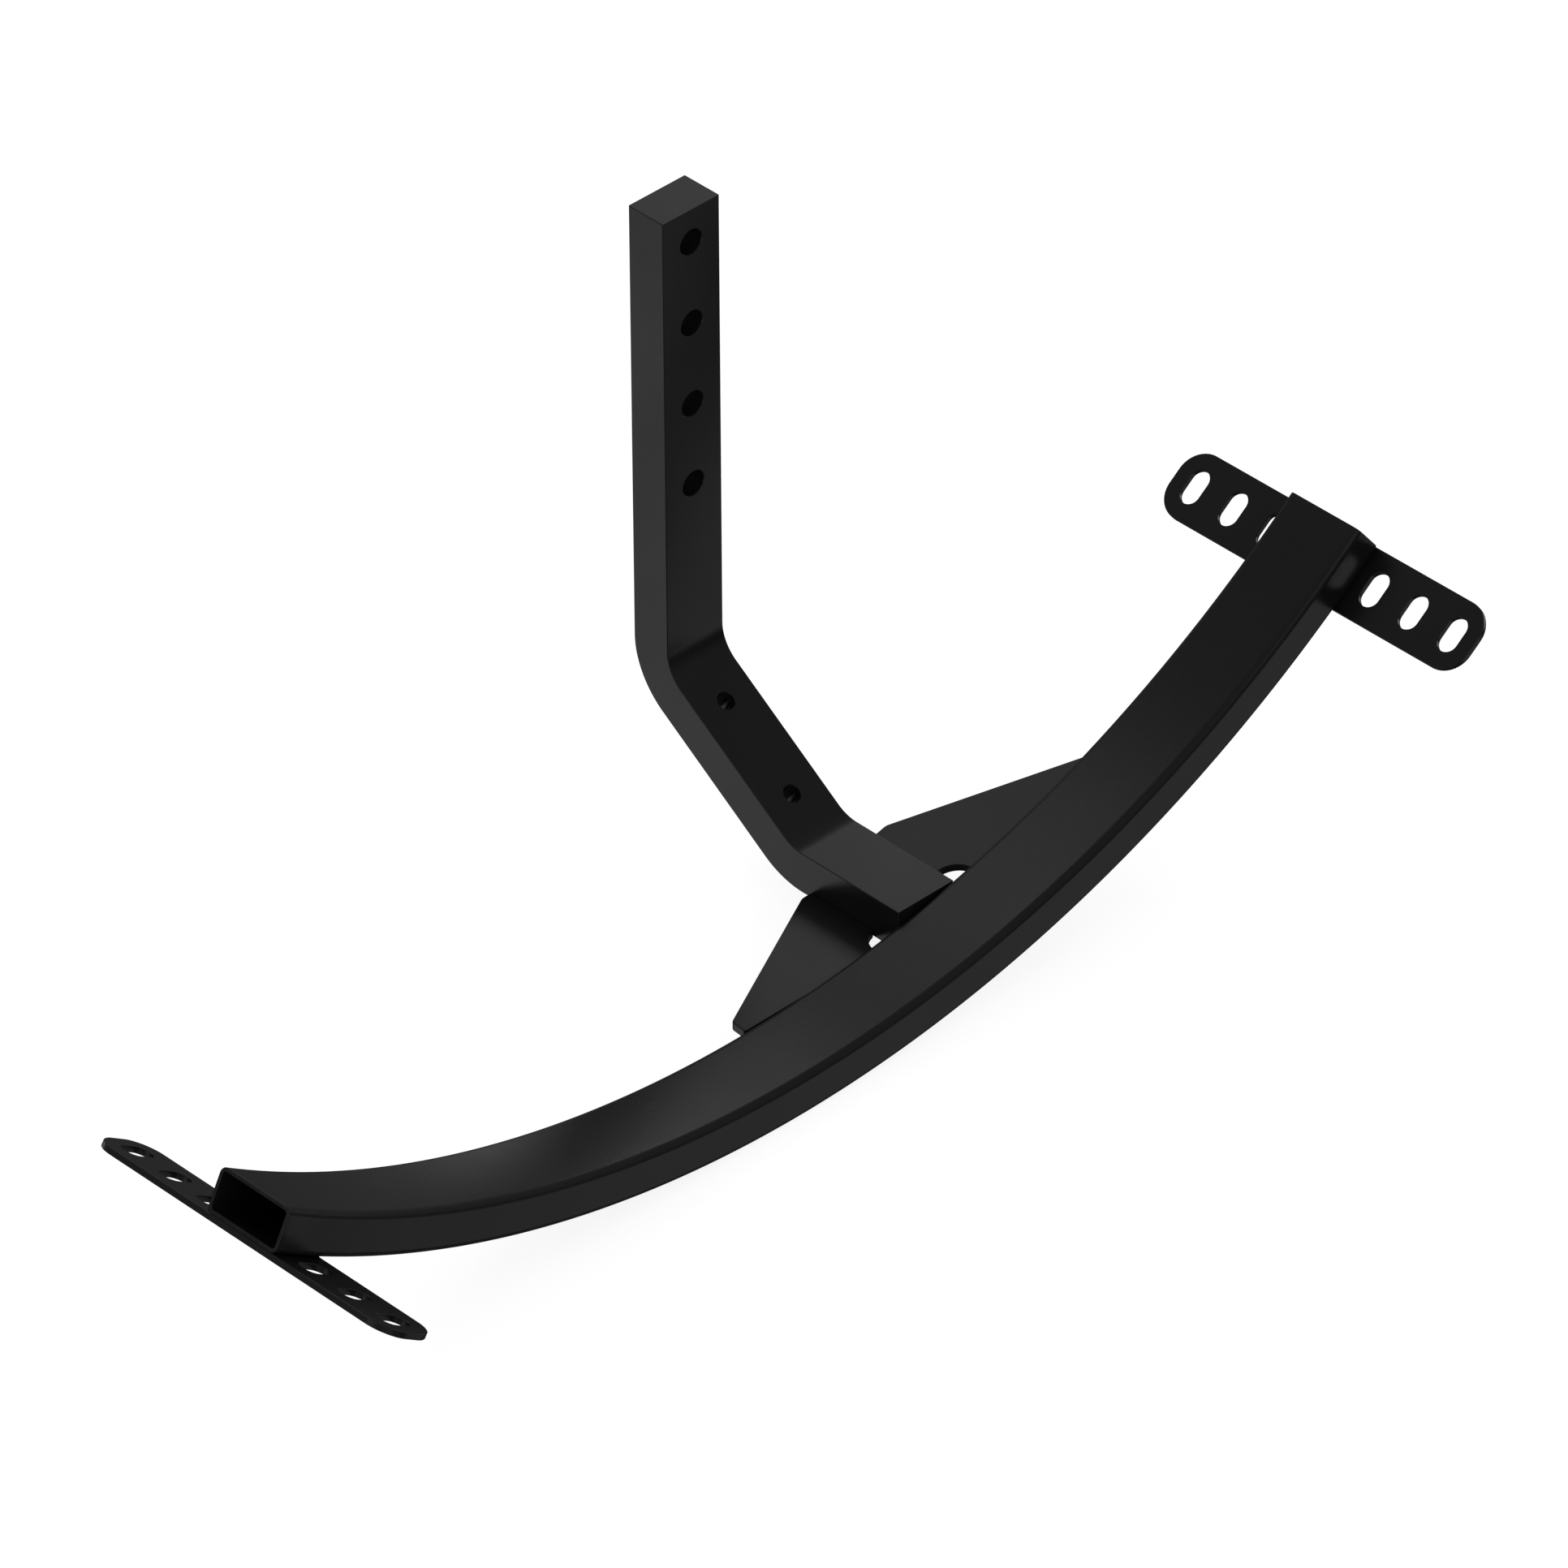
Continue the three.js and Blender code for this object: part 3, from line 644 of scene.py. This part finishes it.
def all_beads():
    """Yields each bead and the CAD node that it stands for."""
    rearward = Vector((0, 1, 0))
    front_y, rear_y = TUBE_REAR_Y - TUBE_WIDTH, TUBE_REAR_Y
    for label, end in END_PLATES.items():
        base, along, away = end_frame(end)
        half = PLATE_WIDTH / 2 - END_INSET
        ends = []
        for s in (-half, half):
            at = base + along * s + away * (GAP / 2)
            ends.append(Vector((at.x, TUBE_REAR_Y + GAP / 2, at.z)))
        bead = weld_bead(f"bead_{label}_rear", *ends, rearward, -away, BEAD_LEG, FLARE_LEG)
        yield bead, f"weld_plate_{label}_rear"
        edge = base + along * (-PLATE_WIDTH / 2 - GAP / 2)
        radial = edge - BOW_CENTRE
        edge = edge + away * (BOW_OUTER_R + GAP / 2 - radial.length)
        inset = TUBE_CORNER + CORNER_CLEAR
        ends = [Vector((edge.x, y, edge.z)) for y in (front_y + inset, rear_y - inset)]
        back = -(radial.normalized().cross(Vector((0, end["side"], 0))))
        bead = weld_bead(f"bead_{label}_inner", *ends, back, away, BEAD_LEG, BEAD_LEG)
        yield bead, f"weld_plate_{label}_inner"
    # Seam that fills the gap between the left wing and the tube.
    near = TUBE_REAR_Y + GAP
    width = LEFT_WING_FRONT_Y - GAP - near
    low = LEFT_WING_Z - WING_THICK
    seam = [
        Vector((near, low)),
        Vector((near + width / 2, low - SEAM_CROWN)),
        Vector((near + width, low)),
        Vector((near + width, LEFT_WING_Z - SEAM_RECESS)),
        Vector((near + width / 2, LEFT_WING_Z - SEAM_DIP)),
        Vector((near, LEFT_WING_Z - SEAM_RECESS)),
    ]
    x0 = -(HALF_SHANK + LEFT_SEAM[1])
    length = LEFT_SEAM[1] - LEFT_SEAM[0]

    def along_tube(y, z, x):
        return Vector((x0 + x, y, z))

    bead = slab("bead_wing_left_tube", [seam], length, along_tube, SEAM_EDGE_R)
    yield bead, "weld_gusset_left_tube"
    turn = radians(RIGHT_WING_DEG)
    down = Vector((sin(turn), 0, -cos(turn)))
    ends = []
    for u in RIGHT_SEAM:
        drop = WING_THICK + GAP / 2
        x = HALF_SHANK + GAP + u * cos(turn) + drop * sin(turn)
        z = RIGHT_WING_Z + u * sin(turn) - drop * cos(turn)
        ends.append(Vector((x, TUBE_REAR_Y + GAP / 2, z)))
    bead = weld_bead("bead_wing_right_tube", *ends, rearward, down, BEAD_LEG, BEAD_LEG)
    yield bead, "weld_gusset_right_tube"
    left_end = WING_REAR_Y - LEFT_SEAM_INSET
    ends = [Vector((-HALF_SHANK - GAP / 2, y, -GAP / 2)) for y in (WING_SEAM_Y, left_end)]
    depth = WING_THICK - LEFT_WING_Z
    bead = weld_bead("bead_wing_left_foot", *ends, (1, 0, 0), (0, 0, -1), LEDGE_LEG, depth)
    yield bead, "weld_gusset_left_shank"
    drop = (WING_THICK + GAP) / cos(turn)
    right_end = WING_REAR_Y - RIGHT_SEAM_INSET
    side_x = HALF_SHANK + GAP / 2
    ends = [Vector((side_x, y, RIGHT_WING_Z - drop)) for y in (WING_SEAM_Y, right_end)]
    rise = Vector((cos(turn), 0, sin(turn)))
    bead = weld_bead("bead_wing_right_foot", *ends, rise, (0, 0, -1), BEAD_LEG, BEAD_LEG)
    yield bead, "weld_gusset_right_shank"
    half = HALF_SHANK - FOOT_INSET
    ends = [Vector((x, TUBE_REAR_Y + GAP / 2, -GAP / 2)) for x in (-half, half)]
    bead = weld_bead("bead_foot_tube", *ends, rearward, (0, 0, -1), BEAD_LEG, BEAD_LEG)
    yield bead, "weld_foot_tube"


# ---- materials -------------------------------------------------------------------------------
COAT_SPECULAR = 0.38
MOTTLE_NOISE = (9.0, 4.0, 0.6)   # scale, detail and roughness of each noise
SPECKLE_NOISE = (900.0, 2.0, 0.6)
PEEL_NOISE = (330.0, 2.0, 0.45)
RUB_NOISE = (60.0, 5.0, 0.65)
PEEL_STRENGTH = 0.28
PEEL_DEPTH = 0.0001              # in metres
GRAIN_STRENGTH = 0.12
GRAIN_DEPTH = 0.00003


def node(tree, kind, **settings):
    made = tree.nodes.new(kind)
    for key, value in settings.items():
        setattr(made, key, value)
    return made


def noise(tree, coords, scale, detail, roughness):
    made = node(tree, "ShaderNodeTexNoise")
    made.inputs["Scale"].default_value = scale
    made.inputs["Detail"].default_value = detail
    made.inputs["Roughness"].default_value = roughness
    tree.links.new(coords, made.inputs["Vector"])
    return made.outputs["Fac"]


def map_range(tree, value, low, high, to_low, to_high):
    made = node(tree, "ShaderNodeMapRange")
    made.inputs["From Min"].default_value = low
    made.inputs["From Max"].default_value = high
    made.inputs["To Min"].default_value = to_low
    made.inputs["To Max"].default_value = to_high
    tree.links.new(value, made.inputs["Value"])
    return made.outputs["Result"]


def mix_colour(tree, factor, first, second):
    made = node(tree, "ShaderNodeMix", data_type="RGBA")
    tree.links.new(factor, made.inputs["Factor"])
    for socket, value in ((made.inputs["A"], first), (made.inputs["B"], second)):
        if isinstance(value, tuple):
            socket.default_value = value
        else:
            tree.links.new(value, socket)
    return made.outputs["Result"]


def multiply(tree, first, second):
    made = node(tree, "ShaderNodeMath", operation="MULTIPLY")
    tree.links.new(first, made.inputs[0])
    tree.links.new(second, made.inputs[1])
    return made.outputs["Value"]


def grey(level):
    """A neutral black or grey with the faint blue of carbon black."""
    return (level, level, level * 1.03, 1)


def powder_coat(name, dark, light, edge_tint, rough_low, rough_high, peel=1.0):
    """Black satin powder coat: orange peel and fine grain, faint mottling, lighter rubbed edges."""
    material = bpy.data.materials.new(name)
    material.use_nodes = True
    tree = material.node_tree
    shader = tree.nodes["Principled BSDF"]
    coords = node(tree, "ShaderNodeTexCoord").outputs["Object"]
    mottle = noise(tree, coords, *MOTTLE_NOISE)
    speckle = noise(tree, coords, *SPECKLE_NOISE)
    peel_noise = noise(tree, coords, *PEEL_NOISE)
    rub_noise = noise(tree, coords, *RUB_NOISE)
    body = mix_colour(tree, map_range(tree, mottle, 0.35, 0.65, 0.0, 1.0), dark, light)
    fleck = mix_colour(tree, map_range(tree, speckle, 0.62, 0.74, 0.0, 0.5), body, edge_tint)
    edge = node(tree, "ShaderNodeAttribute", attribute_name="edge").outputs["Fac"]
    rub = multiply(tree, edge, map_range(tree, rub_noise, 0.38, 0.62, 0.15, 0.85))
    tree.links.new(mix_colour(tree, rub, fleck, edge_tint), shader.inputs["Base Color"])
    tree.links.new(map_range(tree, mottle, 0.3, 0.7, rough_low, rough_high), shader.inputs["Roughness"])
    peel_bump = node(tree, "ShaderNodeBump")
    peel_bump.inputs["Strength"].default_value = PEEL_STRENGTH * peel
    peel_bump.inputs["Distance"].default_value = PEEL_DEPTH
    tree.links.new(peel_noise, peel_bump.inputs["Height"])
    grain_bump = node(tree, "ShaderNodeBump")
    grain_bump.inputs["Strength"].default_value = GRAIN_STRENGTH * peel
    grain_bump.inputs["Distance"].default_value = GRAIN_DEPTH
    tree.links.new(speckle, grain_bump.inputs["Height"])
    tree.links.new(peel_bump.outputs["Normal"], grain_bump.inputs["Normal"])
    tree.links.new(grain_bump.outputs["Normal"], shader.inputs["Normal"])
    shader.inputs["Specular IOR Level"].default_value = COAT_SPECULAR
    return material


COAT = powder_coat("powder_coat", grey(0.0150), grey(0.0180), grey(0.034), 0.25, 0.31)
BEAD_COAT = powder_coat("coated_weld", grey(0.0155), grey(0.0185), grey(0.032), 0.33, 0.42, 0.6)


def adopt(obj, material, slot, *nodes):
    """Gives a piece its coating and puts it in the frame in place of its CAD nodes."""
    shade(obj)
    obj.data.materials.clear()
    obj.data.materials.append(material)
    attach(obj, "root")
    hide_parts(*nodes)


adopt(bowed_tube(), COAT, "powder_coat", "bow_tube")
for label, end in END_PLATES.items():
    adopt(end_plate(f"slotted_plate_{label}", end), COAT, "powder_coat", f"end_plate_{label}")
adopt(shank(), COAT, "powder_coat", "shank")
adopt(left_wing(), COAT, "powder_coat", "gusset_left")
adopt(right_wing(), COAT, "powder_coat", "gusset_right")
for bead, cad_node in all_beads():
    adopt(bead, BEAD_COAT, "coated_weld", cad_node)


# ---- floor, light and camera -----------------------------------------------------------------
lowest = cad_box[0][2]
FLOOR_GAP = 0.0005
FLOOR_GLOW = 0.86
BACKDROP_R = 30.0
OBJECT_MIDDLE = Vector((-0.13, -0.15, -0.12))
PANEL_DISTANCE = 3.4
CAMERA_AT = (-4667.9, -4688.3, 5020.9)      # in millimetres, in the welding frame
CAMERA_AZIMUTH = -44.074
CAMERA_ELEVATION = 36.511
CAMERA_ROLL = -0.292
CAMERA_LENS = 290.17
ROOM_ABOVE = 0.205
ROOM_BELOW = 0.055
HORIZON_BLUR = 0.25
SOFT_PANELS = (                  # name, direction from the object, width and height in m, power in W
    ("right_low", (0.78, 0.58, 0.23), 0.65, 0.42, 1.5),
    ("right_mid", (0.70, 0.58, 0.40), 0.6, 0.6, 0.5),
    ("right_high", (0.60, 0.58, 0.52), 1.0, 0.9, 1.9),
    ("back_high", (0.24, 0.58, 0.78), 1.3, 1.2, 3.3),
    ("left_side", (-1.0, 0.15, 0.25), 1.6, 1.2, 2.6),
    ("left_low", (-0.56, 0.58, -0.60), 1.6, 1.4, 4.8),
    ("front", (-0.25, -0.9, 0.35), 1.6, 1.2, 3.5),
    ("front_low", (0.56, -0.58, -0.60), 1.6, 1.4, 2.3),
    ("bounce_corner", (-0.68, -0.70, -0.22), 1.6, 1.0, 4.0),
    ("bounce_right", (1.0, -0.1, -0.22), 1.6, 1.0, 5.0),
    ("bounce_back", (0.0, 1.0, -0.22), 1.8, 1.0, 6.0),
)


def staged(name, mesh, shader_values):
    """A floor or backdrop that only the camera sees, so that it casts nothing on the object."""
    thing = bpy.data.objects.new(name, mesh)
    bpy.context.collection.objects.link(thing)
    material = bpy.data.materials.new(name)
    material.use_nodes = True
    shader = material.node_tree.nodes["Principled BSDF"]
    for socket, value in shader_values.items():
        shader.inputs[socket].default_value = value
    mesh.materials.append(material)
    thing.visible_glossy = False
    thing.visible_diffuse = False
    thing.visible_shadow = False
    thing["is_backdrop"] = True


def pale_floor():
    """White paper under the object, bright enough to show only a trace of its shadow."""
    mesh = bpy.data.meshes.new("floor")
    corners = [(-1, -1), (1, -1), (1, 1), (-1, 1)]
    reach = 1.5 * BACKDROP_R
    level = lowest - FLOOR_GAP
    mesh.from_pydata([(x * reach, y * reach, level) for x, y in corners], [], [(0, 1, 2, 3)])
    staged("floor", mesh, {
        "Base Color": (0.8, 0.8, 0.8, 1),
        "Roughness": 0.9,
        "Specular IOR Level": 0.1,
        "Emission Color": (1, 1, 1, 1),
        "Emission Strength": FLOOR_GLOW,
    })


def pale_backdrop():
    """A white dome far around the object, so that low views see no edge of the floor."""
    bm = bmesh.new()
    bmesh.ops.create_icosphere(bm, subdivisions=4, radius=BACKDROP_R)
    mesh = bpy.data.meshes.new("backdrop")
    bm.to_mesh(mesh)
    bm.free()
    staged("backdrop", mesh, {
        "Base Color": (0, 0, 0, 1),
        "Specular IOR Level": 0.0,
        "Emission Color": (1, 1, 1, 1),
        "Emission Strength": 1.0,
    })


def panel(name, direction, width, height, power):
    """A soft light panel that faces the object's middle from a direction."""
    light = bpy.data.lights.new(name, "AREA")
    light.shape = "RECTANGLE"
    light.size = width
    light.size_y = height
    light.energy = power
    lamp = bpy.data.objects.new(name, light)
    lamp.location = OBJECT_MIDDLE + Vector(direction).normalized() * PANEL_DISTANCE
    lamp.rotation_euler = (OBJECT_MIDDLE - lamp.location).to_track_quat("-Z", "Y").to_euler()
    bpy.context.collection.objects.link(lamp)


def studio():
    """A dim room, lighter above the horizon, with soft panels around the object."""
    scene = bpy.context.scene
    scene.world = bpy.data.worlds.new("studio")
    scene.world.use_nodes = True
    tree = scene.world.node_tree
    background = tree.nodes["Background"]
    background.inputs["Color"].default_value = (1, 1, 1, 1)
    split = node(tree, "ShaderNodeSeparateXYZ")
    tree.links.new(node(tree, "ShaderNodeTexCoord").outputs["Generated"], split.inputs["Vector"])
    height = split.outputs["Z"]
    strength = map_range(tree, height, -HORIZON_BLUR, HORIZON_BLUR, ROOM_BELOW, ROOM_ABOVE)
    tree.links.new(strength, background.inputs["Strength"])
    scene.view_settings.view_transform = "Standard"
    scene.view_settings.look = "None"
    for name, direction, width, height, power in SOFT_PANELS:
        panel(name, direction, width, height, power)


def photo_camera():
    azimuth = radians(CAMERA_AZIMUTH)
    elevation = radians(CAMERA_ELEVATION)
    roll = radians(CAMERA_ROLL)
    back = Vector((sin(azimuth) * cos(elevation), -cos(azimuth) * cos(elevation), sin(elevation)))
    right = Vector((cos(azimuth), sin(azimuth), 0))
    up = back.cross(right)
    level_right = right * cos(roll) + up * sin(roll)
    level_up = up * cos(roll) - right * sin(roll)
    camera = bpy.data.cameras.new("camera")
    camera.sensor_width = 36
    camera.lens = CAMERA_LENS
    camera.clip_end = 200
    holder = bpy.data.objects.new("camera", camera)
    turn = Matrix((level_right, level_up, back)).transposed().to_4x4()
    holder.matrix_world = Matrix.Translation(world(CAMERA_AT)) @ turn
    bpy.context.collection.objects.link(holder)
    bpy.context.scene.camera = holder


pale_floor()
pale_backdrop()
studio()
photo_camera()

boxes = {"cad": cad_box, "visual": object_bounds()}
{name: [list(corner) for corner in box] for name, box in boxes.items()}
